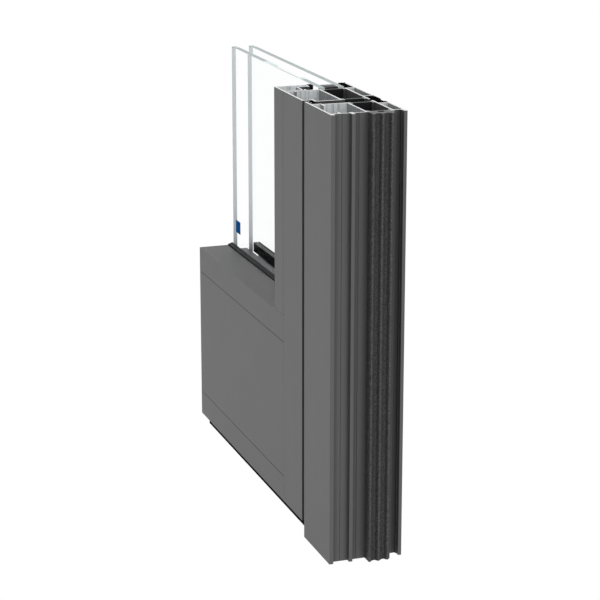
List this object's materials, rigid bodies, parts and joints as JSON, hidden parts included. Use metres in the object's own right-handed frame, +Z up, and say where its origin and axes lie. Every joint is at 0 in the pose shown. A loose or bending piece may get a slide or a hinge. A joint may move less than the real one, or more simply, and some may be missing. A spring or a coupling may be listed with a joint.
{
  "type": "entrance door corner sample",
  "caption": "Cut corner sample of a thermally broken aluminium entrance door: jamb, hinged leaf stile, tall bottom rail and double glazing with black gaskets.",
  "frame": {"origin": "foot of the jamb, at the middle of the land on its wall side", "axes": "+X into the wall, +Y from the room side to the outside, +Z up"},
  "size_m": [0.442, 0.0936, 0.4415],
  "materials": {
    "painted_aluminium": "matt grey powder coat",
    "black_rubber": "matt",
    "polyamide": "sandy glass-fibre filled",
    "spacer_bar": "satin grey",
    "glass": "clear",
    "hinge_metal": "satin"
  },
  "bodies": {
    "jamb": {"jamb_inner_shell": "painted_aluminium", "jamb_outer_shell": "painted_aluminium", "jamb_wall_strip": "polyamide", "jamb_rebate_strip": "polyamide", "jamb_stop_gasket": "black_rubber", "jamb_groove_cover": "black_rubber", "hinge_frame_half": "painted_aluminium", "hinge_pin": "hinge_metal"},
    "leaf": {"stile_inner_shell": "painted_aluminium", "stile_outer_shell": "painted_aluminium", "stile_glass_strip": "polyamide", "stile_edge_strip": "polyamide", "stile_bead": "painted_aluminium", "stile_bead_gasket": "black_rubber", "stile_outer_gasket": "black_rubber", "stile_spacer": "spacer_bar", "stile_groove_cover": "black_rubber", "rail_inner_shell": "painted_aluminium", "rail_foot_profile": "painted_aluminium", "rail_outer_shell": "painted_aluminium", "rail_glass_strip": "polyamide", "rail_foot_strip": "polyamide", "rail_bead": "painted_aluminium", "rail_bead_gasket": "black_rubber", "rail_outer_gasket": "black_rubber", "rail_spacer": "spacer_bar", "bottom_seal": "black_rubber", "front_pane": "glass", "rear_pane": "glass", "glazing_block": "polyamide", "hinge_leaf_half": "painted_aluminium"}
  },
  "joints": [
    {"name": "leaf_hinge", "type": "hinge", "parent": "jamb", "child": "leaf", "pos_m": [-0.064, 0.06235, 0.2215], "axis": [0, 0, -1], "range_deg": [0, 100]}
  ]
}
